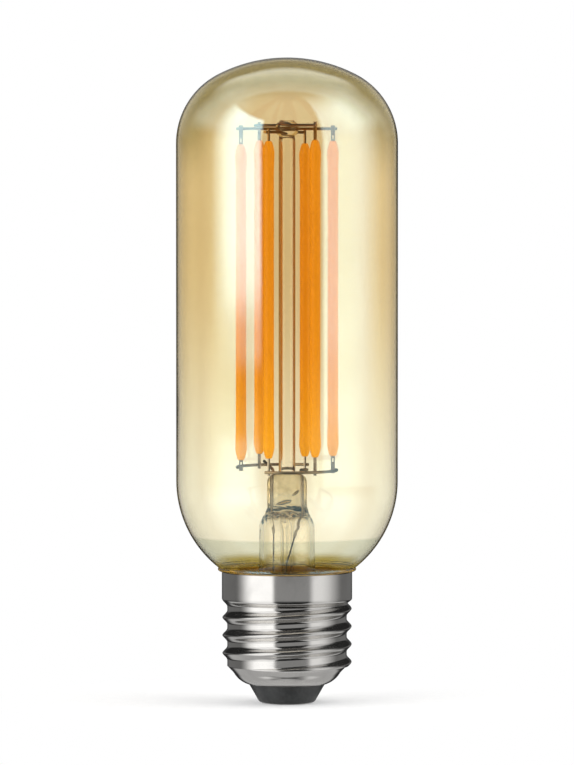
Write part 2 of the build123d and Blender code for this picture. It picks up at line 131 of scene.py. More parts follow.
class BulbSizes(PropertyGroup):
    """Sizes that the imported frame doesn't give"""

    segments: IntProperty(
        name="Segments", description="Steps round the blown glass", default=256, min=24, max=512
    )
    glass_wall: length("Glass wall", "Thickness of the blown glass", 0.0006)
    crown_radius: length("Crown radius", "Radius of the middle of the dome", 0.0305)
    corner_radius: length("Dome corner", "Radius between the dome and the tube", 0.01575)
    lip_radius: length("Lip radius", "Radius of the glass rim over the collar", 0.01405)
    lip_height: length("Lip height", "Height of the glass rim over the collar", 0.0008)
    lip_gap: length("Lip gap", "Gap between the collar and the glass rim", 0.0001)
    neck_radius: length("Neck radius", "Outer radius of the neck inside the cap", 0.0115)
    stem_radius: length("Stem radius", "Outer radius of the stem tube", 0.0057)
    stem_wall: length("Stem wall", "Thickness of the stem tube", 0.0009)
    stem_top: length("Stem top", "Height of the round tube's top over the seal", 0.0154)
    flare_rim: length("Flare rim", "Height of the upright rim of the stem's flare", 0.001)
    flare_height: length("Flare height", "Height of the stem's flare over the seal", 0.007)
    cavity_rise: length("Cavity rise", "How far the hollow runs up into the press", 0.0024)
    press_rise: length("Press shoulder", "Height over which the tube is pinched flat", 0.0045)
    press_width: length("Press width", "Width of the flat press", 0.0081)
    press_depth: length("Press depth", "Thickness of the flat press", 0.0044)
    press_round: length("Press round", "Height over which the press's top is rounded", 0.0018)
    rod_radius: length("Rod radius", "Radius of the support rod", 0.0017)
    bead_radius: length("Bead radius", "Radius of the bead on the support rod", 0.00235)
    coat_swell: length("Coat swell", "How far the coat swells near each end", 0.00012)
    coat_taper: length("Coat taper", "Length of each tapered end of a filament", 0.0022)
    coat_tip: length("Coat tip", "Radius of a filament's end where the tab leaves it", 0.00045)
    root_radius: length("Thread root", "Radius of the shell between the threads", 0.01215)
    thread_depth: length("Thread depth", "Height of the thread over its root", 0.001)
    thread_pitch: length("Thread pitch", "Rise of the thread in one turn", 0.0254 / 7)
    thread_width: length("Thread width", "Width of the thread at its foot", 0.003)
    thread_start: length("Thread start", "Height of the thread's crest where it starts", 0.008354)
    collar_height: length("Collar height", "Height of the plain collar", 0.0056)
    bowl_radius: length("Bowl radius", "Radius of the shell's round foot", 0.005)
    shell_wall: length("Shell wall", "Thickness of the shell's sheet", 0.0003)


class BulbColours(PropertyGroup):
    """Colours of the finishes"""

    amber_top: tone("Amber, top", "Tint of the glass at the dome", (0.84, 0.726, 0.495))
    amber_foot: tone("Amber, foot", "Tint of the glass at the shoulder", (0.99, 0.955, 0.80))
    amber_lip: tone("Amber, lip", "Tint of the glass at the lip", (0.52, 0.40, 0.09))
    # Darker, greyer tone of the first glass a ray meets below a height.
    low_tone: tone("Under the coat", "Tint below the coat's border", (0.58, 0.64, 0.61))
    # Slant tones are painted light on the tube and shoulder, and painted shade on the dome's rim.
    slant_light_foot: tone("Slant, foot", "Tint of the shoulder seen at a slant", (1.0, 1.0, 0.9))
    slant_light_top: tone("Slant, top", "Tint of the tube seen at a slant", (0.92, 0.79, 0.5))
    slant_shade_dome: tone("Slant, dome", "Tint of the dome seen at a slant", (0.42, 0.37, 0.15))
    # Edge tones are painted shade beside the glass's outline, and the outline tone is a near-black painted
    # line along it.
    edge_shade_foot: tone("Edge, foot", "Tint of the shoulder beside its outline", (0.86, 0.8, 0.62))
    edge_shade_top: tone("Edge, top", "Tint of the tube beside its outline", (0.72, 0.55, 0.26))
    outline: tone("Outline", "Tint of the blown glass at its outline", (0.1, 0.07, 0.02))
    lustre: tone("Lustre", "Tint of the gloss on the amber coat", (0.45, 0.76, 0.92))
    smudge: tone("Smudge", "Tint of handling marks on the amber coat", (0.6, 0.5, 0.3))
    amber_shade: tone("Amber shade", "Lamp light through the blown glass", (0.95, 0.89, 0.76))
    clear: tone("Clear glass", "Tint of the stem and the rod", (0.98, 0.965, 0.92))
    neck: tone("Neck glass", "Tint of the stem in the neck", (0.85, 0.78, 0.5))
    cloud: tone("Cloud", "Tint of cloudy streaks in the stem", (0.42, 0.36, 0.22))
    press: tone("Press glass", "Tint of the stem where it is pressed", (0.76, 0.69, 0.52))
    press_side: tone("Press side", "Tint of the press's sides", (0.42, 0.37, 0.25))
    # Edge tones are painted shade, where the clear glass is seen edge on.
    press_edge_shade: tone("Press edge", "Tint of the press seen edge on", (0.3, 0.23, 0.12))
    stem_edge_shade: tone("Stem edge", "Tint of the stem tube seen edge on", (0.88, 0.84, 0.72))
    rod_edge_shade: tone("Rod edge", "Tint of the rod seen edge on", (0.3, 0.1, 0.004))
    bead_side: tone("Bead side", "Tint of the bead's sides", (0.85, 0.72, 0.45))
    bead_edge_shade: tone("Bead edge", "Tint of the bead seen edge on", (0.62, 0.42, 0.14))
    clear_shade: tone("Clear shade", "Lamp light through the clear glass", (0.97, 0.97, 0.95))
    pale_shade: tone("Pale shade", "Soft light through any of the glass", (0.985, 0.97, 0.94))
    coat: tone("Filament coat", "Colour of the coated strips", (0.63, 0.25, 0.001))
    coat_foot: tone("Filament foot", "Colour of the coat towards the foot", (0.68, 0.31, 0.002))
    coat_speck: tone("Filament specks", "Tint of the specks in the coat", (0.9, 0.86, 0.8))
    wire: tone("Wire", "Nickel wires at the foot", (0.46, 0.37, 0.25))
    browned: tone("Browned wire", "Wires that the bead's heat has browned", (0.48, 0.27, 0.09))
    lead: tone("Lead", "Copper-clad leads", (0.10, 0.07, 0.045))
    tab: tone("Tab", "Plated filament tabs", (0.66, 0.59, 0.49))
    nickel: tone("Shell", "Nickel plate of the screw shell", (0.68, 0.665, 0.64))
    contact: tone("Contact", "Tinned centre contact", (0.70, 0.68, 0.63))
    insulator: tone("Insulator", "Black insulator", (0.016, 0.017, 0.017))
    cement: tone("Cement", "Ring of cement in the collar", (0.62, 0.46, 0.17))
    board: tone("Board", "Driver board", (0.025, 0.13, 0.06))
    mould: tone("Mould", "Moulded packages", (0.02, 0.02, 0.022))
    sleeve: tone("Sleeve", "Capacitor sleeve", (0.03, 0.035, 0.06))
    resistor: tone("Resistor", "Lacquered resistor", (0.30, 0.42, 0.46))
    paper: tone("Floor", "Paper of the floor", (0.87, 0.87, 0.87))
    fibre: tone("Floor fibres", "Pale fibres in the floor's paper", (0.9, 0.9, 0.9))


class BulbStage(PropertyGroup):
    """Camera and studio, with the brightness of each place that the bulb mirrors"""

    camera_distance: length("Camera distance", "From the bulb's axis", 1.2)
    camera_height: length("Camera height", "Over the floor", 0.115)
    aim_height: length("Aim height", "Height of the picture's middle on the axis", 0.0652)
    picture_height: length("Picture height", "What the frame takes in at the axis", 0.1552)
    ambient: level("Ambient", "every direction, under all the panels", 0.02)
    left_box: level("Left soft box", "the left soft box", 8.6)
    right_box: level("Right soft box", "the right soft box", 4.9)
    top_box: level("Top soft box", "the overhead soft box", 1.85)
    front_top: level("Front ceiling", "the ceiling in front", 0.45)
    back: level("Back wall", "the wall behind the bulb", 0.12)
    back_top: level("Back wall, top", "the wall high up behind the bulb", 0.12)
    rim: level("Backdrop's edge", "the backdrop beside the bulb", 0.15)
    inner: level("Inner glow", "the room through the inner glass", 0.5)
    behind: level("Backdrop", "the backdrop through the inner glass", 0.75)
    wall: level("Backdrop, wall", "the backdrop through the edge of the glass wall", 0.7)
    sweep: level("Sweep", "the table's far edge", 1.1)
    front: level("Front wall", "the camera's side", 0.4)
    table: level("Table", "the table", 1.0)
    under: level("Table, near", "the table close to the bulb", 0.42)
    right_wall: level("Right wall", "the wall behind the right soft box", 0.35)
    glow: level("Glow", "the room beside and over the soft boxes", 1.9)
    left_sweep: level("Left sweep", "the table under the left soft box", 1.5)
    right_sweep: level("Right sweep", "the table under the right soft box", 0.8)
    left_inner: level("Left soft box, inside", "the left soft box in the far wall", 3.0)
    right_inner: level("Right soft box, inside", "the right soft box in the far wall", 3.6)
    left_metal: level("Left soft box, metal", "the left soft box in satin metal", 1.15)
    right_metal: level("Right soft box, metal", "the right soft box in satin metal", 0.65)
    front_metal: level("Front wall, metal", "the camera's side in satin metal", 0.3)
    table_metal: level("Table, metal", "the table in satin metal", 0.48)
    ceiling_metal: level("Ceiling, metal", "the ceiling in satin metal", 0.6)
    back_metal: level("Back wall, metal", "the wall behind the bulb in satin metal", 0.16)
    fill: level("Fill", "the studio on plain surfaces, as a share", 0.65)


# ---------------------------------------------------------------- mesh tools


def arc(centre, radius, start, end, steps):
    """Points of an arc in a side outline, with its angles in degrees."""
    turn = [math.radians(start + (end - start) * i / steps) for i in range(steps + 1)]
    return [(centre[0] + radius * math.cos(a), centre[1] + radius * math.sin(a)) for a in turn]


def turned(outline, segments, centre=(0.0, 0.0)):
    """Rings round an upright axis, one for each point of a side outline."""
    turn = [2 * math.pi * i / segments for i in range(segments)]
    on_axis = 1e-7
    return [
        [(centre[0] + r * math.cos(a), centre[1] + r * math.sin(a), z) for a in turn]
        if r > on_axis
        else [(centre[0], centre[1], z)]
        for r, z in outline
    ]


def flattened(half_width, half_depth, squareness, z, segments):
    """Ring between an ellipse and a rounded oblong."""
    ring = []
    for i in range(segments):
        c, s = math.cos(2 * math.pi * i / segments), math.sin(2 * math.pi * i / segments)
        x = math.copysign(abs(c) ** (2 / squareness), c) * half_width
        y = math.copysign(abs(s) ** (2 / squareness), s) * half_depth
        ring.append((x, y, z))
    return ring


def skin(mesh, rings, closed=False):
    """Adds faces between rings of points. A ring of one point closes an end."""
    made = [[mesh.verts.new(p) for p in ring] for ring in rings]
    for low, high in zip(made, made[1:] + made[:1] if closed else made[1:]):
        count = max(len(low), len(high))
        for i in range(count):
            j = (i + 1) % count
            below = [low[i % len(low)], low[j % len(low)]]
            above = [high[j % len(high)], high[i % len(high)]]
            mesh.faces.new(list(dict.fromkeys(below + above)))


def finished(mesh, name):
    """Object with a smooth surface from a bmesh."""
    data = bpy.data.meshes.new(name)
    mesh.to_mesh(data)
    mesh.free()
    data.shade_smooth()
    piece = bpy.data.objects.new(name, data)
    bpy.context.scene.collection.objects.link(piece)
    return piece


def lofted(name, rings, closed=False):
    """Object whose skin runs through rings of points."""
    mesh = bmesh.new()
    skin(mesh, rings, closed)
    bmesh.ops.recalc_face_normals(mesh, faces=mesh.faces)
    return finished(mesh, name)


def fit(piece, node, material):
    """Puts a piece in place of a node, on the bulb's one body."""
    piece.data.materials.append(material)
    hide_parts(node)
    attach(piece, BODY)


def dress(names, material):
    """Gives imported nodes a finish."""
    for name in names:
        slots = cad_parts[name].data.materials
        slots.clear()
        slots.append(material)


def numbered(stem, count):
    """Names of like nodes."""
    return [f"{stem}_{k + 1}" for k in range(count)]


def smooth(low, high, value):
    """Smooth step from 0 to 1."""
    share = min(max((value - low) / (high - low), 0.0), 1.0)
    return share * share * (3 - 2 * share)


# ---------------------------------------------------------------- node tools


def add(tree, kind, inputs=None, **settings):
    """Node with its settings and its inputs, each a value or a socket to link."""
    made = tree.nodes.new(kind)
    for name, value in settings.items():
        setattr(made, name, value)
    for name, value in (inputs or {}).items():
        if isinstance(value, NodeSocket):
            tree.links.new(value, made.inputs[name])
        else:
            made.inputs[name].default_value = value
    return made


def sums(tree, operation, *values):
    """Output of a Math node."""
    return add(tree, "ShaderNodeMath", dict(enumerate(values)), operation=operation).outputs[0]


def ranged(tree, value, low, high, start=0.0, end=1.0):
    """Output of a smooth Map Range node."""
    made = add(
        tree,
        "ShaderNodeMapRange",
        {"Value": value, "From Min": low, "From Max": high, "To Min": start, "To Max": end},
        interpolation_type="SMOOTHSTEP",
    )
    return made.outputs["Result"]


def blended(tree, share, first, second, kind="MIX"):
    """Output of a colour mix."""
    colours = {0: share, 6: first, 7: second}
    return add(tree, "ShaderNodeMix", colours, data_type="RGBA", blend_type=kind).outputs[2]


def averaged(tree, share, first, second):
    """Output of a mix of two values."""
    values = {0: share, 2: first, 3: second}
    return add(tree, "ShaderNodeMix", values, data_type="FLOAT").outputs[0]


def layered(tree, share, first, second):
    """Output of a mix of two shaders."""
    return add(tree, "ShaderNodeMixShader", {0: share, 1: first, 2: second}).outputs[0]


def opaque(colour):
    """Colour with an alpha of 1."""
    return (*colour, 1.0)


def here(tree):
    """Place on the object."""
    return add(tree, "ShaderNodeTexCoord").outputs["Object"]


def new_group(name, inputs, outputs):
    """Empty shader group with named sockets: its tree, its entry's outputs and its exit's inputs."""
    tree = bpy.data.node_groups.new(name, "ShaderNodeTree")
    for label, default in inputs.items():
        socket = tree.interface.new_socket(label, in_out="INPUT", socket_type="NodeSocketFloat")
        socket.default_value = default
    for label in outputs:
        tree.interface.new_socket(label, in_out="OUTPUT", socket_type="NodeSocketFloat")
    entry, leave = tree.nodes.new("NodeGroupInput"), tree.nodes.new("NodeGroupOutput")
    return tree, entry.outputs, leave.inputs


def grain_group():
    """Speckled grain of a moulded or coated surface: a mask and a height."""
    tree, get, give = new_group("Grain", {"Scale": 2000.0}, ["Mask", "Height"])
    place = here(tree)
    finer = sums(tree, "MULTIPLY", get["Scale"], 4.0)
    coarse = add(tree, "ShaderNodeTexNoise", {"Vector": place, "Scale": get["Scale"], "Detail": 3.0})
    specks = add(tree, "ShaderNodeTexNoise", {"Vector": place, "Scale": finer, "Detail": 2.0})
    mask = ranged(tree, coarse.outputs["Fac"], low=0.35, high=0.65)
    tree.links.new(mask, give["Mask"])
    tree.links.new(specks.outputs["Fac"], give["Height"])
    return tree


def drawn_group():
    """Fine lines round the axis, as rolling and drawing leave them: a mask and a height."""
    tree, get, give = new_group("Drawn lines", {"Scale": 4000.0}, ["Mask", "Height"])
    stretch = (0.04, 0.04, 1.0)
    place = add(tree, "ShaderNodeVectorMath", {0: here(tree), 1: stretch}, operation="MULTIPLY").outputs[0]
    lines = add(tree, "ShaderNodeTexNoise", {"Vector": place, "Scale": get["Scale"], "Detail": 4.0})
    mask = ranged(tree, lines.outputs["Fac"], low=0.3, high=0.7)
    tree.links.new(mask, give["Mask"])
    tree.links.new(lines.outputs["Fac"], give["Height"])
    return tree


def handling_group():
    """Soft smudges from handling: a mask."""
    tree, get, give = new_group("Handling", {"Scale": 90.0}, ["Mask"])
    patches = add(
        tree,
        "ShaderNodeTexNoise",
        {"Vector": here(tree), "Scale": get["Scale"], "Detail": 4.0, "Distortion": 0.6},
    )
    mask = ranged(tree, patches.outputs["Fac"], low=0.42, high=0.72)
    tree.links.new(mask, give["Mask"])
    return tree


def ripple_group():
    """Soft ripples of blown, drawn or pressed glass: a height."""
    tree, get, give = new_group("Ripples", {"Scale": 45.0}, ["Height"])
    waves = add(tree, "ShaderNodeTexNoise", {"Vector": here(tree), "Scale": get["Scale"], "Detail": 1.0})
    tree.links.new(waves.outputs["Fac"], give["Height"])
    return tree


def ramp_group():
    """Smooth ramps between two distances, up from the floor and out from the middle: two masks."""
    tree, get, give = new_group("Ramp", {"Low": 0.0, "High": 1.0}, ["Up", "Out"])
    x, _, z = add(tree, "ShaderNodeSeparateXYZ", {0: here(tree)}).outputs
    out = sums(tree, "ABSOLUTE", x)
    tree.links.new(ranged(tree, z, get["Low"], get["High"]), give["Up"])
    tree.links.new(ranged(tree, out, get["Low"], get["High"]), give["Out"])
    return tree


def soft_box_group():
    """How much of a panel a direction meets, by two angles in degrees: a mask."""
    limits = dict.fromkeys(("Across", "Upright", "Left", "Right", "Low", "High"), 0.0)
    fades = dict.fromkeys(("Left Fade", "Right Fade", "Low Fade", "High Fade"), 3.0)
    tree, get, give = new_group("Soft box", {**limits, **fades}, ["Mask"])
    sides = []
    for angle, low, high in (("Across", "Left", "Right"), ("Upright", "Low", "High")):
        for limit, way in ((low, 1.0), (high, -1.0)):
            inside = sums(tree, "MULTIPLY", sums(tree, "SUBTRACT", get[angle], get[limit]), way)
            sides.append(ranged(tree, sums(tree, "DIVIDE", inside, get[limit + " Fade"]), -0.5, 0.5))
    across, upright = (sums(tree, "MULTIPLY", *pair) for pair in (sides[:2], sides[2:]))
    tree.links.new(sums(tree, "MULTIPLY", across, upright), give["Mask"])
    return tree


def grouped(tree, name, builder, values):
    """Outputs of a shared group, built once, with its own values."""
    shared = bpy.data.node_groups.get(name) or builder()
    return add(tree, "ShaderNodeGroup", values, node_tree=shared).outputs


def smudged(tree, scale):
    """Mask of the shared smudges."""
    return grouped(tree, "Handling", handling_group, {"Scale": scale})["Mask"]


def ramp(tree, band, way="Up"):
    """Mask of the shared ramp."""
    low, high = band
    return grouped(tree, "Ramp", ramp_group, {"Low": low, "High": high})[way]


def bumped(tree, height, strength, distance):
    """Normal from a height."""
    made = add(tree, "ShaderNodeBump", {"Height": height, "Strength": strength, "Distance": distance})
    return made.outputs["Normal"]


def rippled(tree, scale, strength, distance):
    """Normal of the shared ripples."""
    height = grouped(tree, "Ripples", ripple_group, {"Scale": scale})["Height"]
    return bumped(tree, height, strength, distance)


def dulled(tree, mask, smudge, share, rough, dull):
    """Roughness between two values, by a share of a finish's mask and the rest of its smudges."""
    marks = sums(tree, "MULTIPLY", smudge, 1.0 - share)
    mixed = sums(tree, "MULTIPLY_ADD", mask, share, marks)
    return ranged(tree, mixed, 0.0, 1.0, rough, dull)


def bare(name):
    """Material with an empty node tree."""
    material = bpy.data.materials.new(name)
    material.use_nodes = True
    material.node_tree.nodes.clear()
    return material, material.node_tree


def close(tree, shader):
    """Links a shader to the material's output."""
    add(tree, "ShaderNodeOutputMaterial", {"Surface": shader})


# ---------------------------------------------------------------- materials


def lets_light_through(tree, glass, tint, pale):
    """Glass that tints the light of lamps, and lets diffuse and satin rays through almost clear."""
    path = add(tree, "ShaderNodeLightPath").outputs
    shaded = add(tree, "ShaderNodeBsdfTransparent", {"Color": opaque(tint)}).outputs[0]
    almost_clear = add(tree, "ShaderNodeBsdfTransparent", {"Color": opaque(pale)}).outputs[0]
    satin = sums(tree, "SUBTRACT", path["Is Glossy Ray"], path["Is Singular Ray"])
    blurred = sums(tree, "MAXIMUM", path["Is Diffuse Ray"], satin)
    return layered(tree, path["Is Shadow Ray"], layered(tree, blurred, glass, almost_clear), shaded)


def amber_glass(colours):
    """Blown glass with an amber coat that thins towards the foot and gathers at the lip."""
    marks, slant_end, dome_edge = 0.05, 0.5, 0.3
    slant_start, slant_start_dome = 0.2, 0.12
    edge_band, outline_band = (0.66, 0.8), (0.79, 0.86)
    material, tree = bare("amber_glass")
    rise, dome = ramp(tree, COAT_RISE), ramp(tree, DOME)
    facing = add(tree, "ShaderNodeLayerWeight", {"Blend": 0.5}).outputs["Facing"]
    # The painted shade at the outline, and the darker tone below a height, show once, where a ray first
    # meets the glass.
    depth = add(tree, "ShaderNodeLightPath").outputs["Transmission Depth"]
    near = sums(tree, "LESS_THAN", depth, NONE_YET)
    outline = sums(tree, "MULTIPLY", facing, near)

    tint = blended(tree, rise, opaque(colours.amber_foot), opaque(colours.amber_top))
    handled = sums(tree, "MULTIPLY", smudged(tree, scale=60.0), marks)
    body = blended(tree, handled, tint, opaque(colours.smudge))
    # Painted light at a slant on the tube and shoulder, and painted shade at a slant on the dome.
    slant = blended(tree, rise, opaque(colours.slant_light_foot), opaque(colours.slant_light_top))
    slant = blended(tree, dome, slant, opaque(colours.slant_shade_dome))
    start = ranged(tree, dome, 0.0, 1.0, slant_start, slant_start_dome)
    body = blended(tree, ranged(tree, facing, start, slant_end), body, slant)
    # Painted shade beside the outline, then a near-black painted line along it.
    edge = blended(tree, rise, opaque(colours.edge_shade_foot), opaque(colours.edge_shade_top))
    weaker = ranged(tree, dome, 0.0, 1.0, 1.0, dome_edge)
    body = blended(tree, sums(tree, "MULTIPLY", ranged(tree, outline, *edge_band), weaker), body, edge)
    body = blended(tree, ranged(tree, outline, *outline_band), body, opaque(colours.outline))
    # Below a height, the first glass a ray meets is darker and greyer.
    low_toned = blended(tree, 1.0, body, opaque(colours.low_tone), "MULTIPLY")
    below = sums(tree, "MULTIPLY", near, sums(tree, "SUBTRACT", 1.0, ramp(tree, LOW_TONE_BAND)))
    body = blended(tree, below, body, low_toned)
    body = blended(tree, ramp(tree, LIP), opaque(colours.amber_lip), body)
    glass = add(
        tree,
        "ShaderNodeBsdfPrincipled",
        {
            "Base Color": body,
            "Roughness": 0.0,
            "IOR": 1.6,
            "Specular Tint": opaque(colours.lustre),
            "Transmission Weight": 1.0,
            "Normal": rippled(tree, scale=45.0, strength=0.03, distance=0.002),
        },
    )
    close(tree, lets_light_through(tree, glass.outputs[0], colours.amber_shade, colours.pale_shade))
    return material


def clear_glass(name, colours, band, low_edge_shade, pressed, sides, high_edge_shade, slant, clouds):
    """Clear glass, tinted above a band of heights, with painted shade where seen edge on, amber at the
    neck.
    """
    material, tree = bare(name)
    facing = add(tree, "ShaderNodeLayerWeight", {"Blend": 0.5}).outputs["Facing"]
    above = ramp(tree, band)
    upper = blended(tree, ramp(tree, PRESS_SIDES, "Out"), opaque(pressed), opaque(sides))
    body = blended(tree, above, opaque(colours.clear), upper)
    cloud = sums(tree, "MULTIPLY", smudged(tree, scale=420.0), ranged(tree, above, 0.0, 1.0, *clouds))
    body = blended(tree, cloud, body, opaque(colours.cloud))
    # Painted shade where the glass is seen edge on.
    edge = blended(tree, above, opaque(low_edge_shade), opaque(high_edge_shade))
    body = blended(tree, ranged(tree, facing, *slant), body, edge)
    body = blended(tree, ramp(tree, NECK), opaque(colours.neck), body)
    glass = add(
        tree,
        "ShaderNodeBsdfPrincipled",
        {
            "Base Color": body,
            "Roughness": 0.0,
            "IOR": 1.5,
            "Transmission Weight": 1.0,
            "Normal": rippled(tree, scale=400.0, strength=0.06, distance=0.0005),
        },
    )
    close(tree, lets_light_through(tree, glass.outputs[0], colours.clear_shade, colours.pale_shade))
    return material


def filament_coat(colours):
    """Silicone loaded with phosphor, slightly grainy, with a painted glow that makes it a little brighter
    than its surroundings.
    """
    material, tree = bare("filament_coat")
    grain = grouped(tree, "Grain", grain_group, {"Scale": 5000.0})
    even = blended(tree, ramp(tree, FILAMENT_FOOT), opaque(colours.coat_foot), opaque(colours.coat))
    specks = blended(tree, 1.0, even, opaque(colours.coat_speck), "MULTIPLY")
    body = blended(tree, grain["Mask"], specks, even)
    coat = add(
        tree,
        "ShaderNodeBsdfPrincipled",
        {
            "Base Color": body,
            "Roughness": ranged(tree, grain["Mask"], 0.0, 1.0, start=0.42, end=0.5),
            "Specular IOR Level": 0.25,
            # Painted glow: the coat gives off a quarter of its own colour as light, though it is no lamp.
            "Emission Color": body,
            "Emission Strength": 0.25,
            "Normal": bumped(tree, grain["Height"], strength=0.06, distance=0.0001),
        },
    )
    close(tree, coat.outputs[0])
    return material


def metal(name, colour, rough, dull, scale, upper=None):
    """Drawn or rolled metal with fine lines and dull patches, and another colour high up if given."""
    worn, worn_share, mask_share = 0.8, 0.5, 0.35
    material, tree = bare(name)
    drawn = grouped(tree, "Drawn lines", drawn_group, {"Scale": scale})
    smudge = smudged(tree, scale=160.0)
    patches = sums(tree, "MULTIPLY", smudge, worn_share)
    body = blended(tree, patches, opaque(colour), opaque(c * worn for c in colour))
    if upper is not None:
        body = blended(tree, ramp(tree, BROWNING), body, opaque(upper))
    surface = add(
        tree,
        "ShaderNodeBsdfPrincipled",
        {
            "Base Color": body,
            "Metallic": 1.0,
            "Roughness": dulled(tree, drawn["Mask"], smudge, mask_share, rough, dull),
            "Normal": bumped(tree, drawn["Height"], strength=0.03, distance=0.0001),
        },
    )
    close(tree, surface.outputs[0])
    return material


def plain(name, colour, rough, dull, scale, bump):
    """Moulded, cast or lacquered finish with grain and smudges."""
    paler, least, mask_share = 1.25, 0.004, 0.4
    material, tree = bare(name)
    grain = grouped(tree, "Grain", grain_group, {"Scale": scale})
    pale = (min(c * paler + least, 1.0) for c in colour)
    surface = add(
        tree,
        "ShaderNodeBsdfPrincipled",
        {
            "Base Color": blended(tree, grain["Mask"], opaque(colour), opaque(pale)),
            "Roughness": dulled(tree, grain["Mask"], smudged(tree, scale=200.0), mask_share, rough, dull),
            "Normal": bumped(tree, grain["Height"], bump, distance=0.0002),
        },
    )
    close(tree, surface.outputs[0])
    return material


# ---------------------------------------------------------------- operators


class BULB_OT_blow_glass(Operator):
    """Blow the tubular glass with its dome, round shoulder, lip and neck"""

    bl_idname = "bulb.blow_glass"
    bl_label = "Blow glass bulb"
    crown_steps, corner_steps, shoulder_steps, rim_steps, throat_steps = 14, 28, 30, 10, 8
    lip_start = 50  # degrees
    bevel_out, bevel_down = 0.0002, 0.0003  # between the lip's underside and the neck

    def execute(self, context):
        sizes, colours = context.scene.bulb_sizes, context.scene.bulb_colours
        low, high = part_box("glass_bulb")
        tube, wall, neck = high.x, sizes.glass_wall, sizes.neck_radius
        lip_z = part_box("screw_shell")[1].z + sizes.lip_gap
        foot_z = lip_z + sizes.lip_height
        shoulder_z = foot_z + math.sqrt(tube**2 - sizes.lip_radius**2)
        crown_z = high.z - sizes.crown_radius
        corner_r = tube - sizes.corner_radius
        reach = sizes.crown_radius - sizes.corner_radius
        corner_z = crown_z + math.sqrt(reach**2 - corner_r**2)
        turn = math.degrees(math.acos(corner_r / reach))

        def side(inset, bottom):
            drop = math.degrees(math.asin((shoulder_z - bottom) / (tube - inset)))
            crown = arc((0.0, crown_z), sizes.crown_radius - inset, 90, turn, self.crown_steps)
            bend = sizes.corner_radius - inset
            corner = arc((corner_r, corner_z), bend, turn, 0, self.corner_steps)
            shoulder = arc((0.0, shoulder_z), tube - inset, 0, -drop, self.shoulder_steps)
            return crown + corner[1:] + shoulder

        round_lip, round_foot = sizes.lip_height / 2, wall / 2
        lip_centre = (sizes.lip_radius - round_lip, lip_z + round_lip)
        foot_centre = (neck - round_foot, low.z + round_foot)
        outline = side(0.0, foot_z)
        outline += arc(lip_centre, round_lip, self.lip_start, -90, self.rim_steps)
        outline += [(neck + self.bevel_out, lip_z), (neck, lip_z - self.bevel_down)]
        outline += arc(foot_centre, round_foot, 0, -180, self.rim_steps)
        outline += arc((neck, lip_z), wall, 180, 90, self.throat_steps)
        outline += side(wall, lip_z + wall)[::-1]
        outline[0], outline[-1] = (0.0, high.z), (0.0, high.z - wall)
        piece = lofted("blown_glass", turned(outline, sizes.segments))
        fit(piece, "glass_bulb", amber_glass(colours))
        return {"FINISHED"}


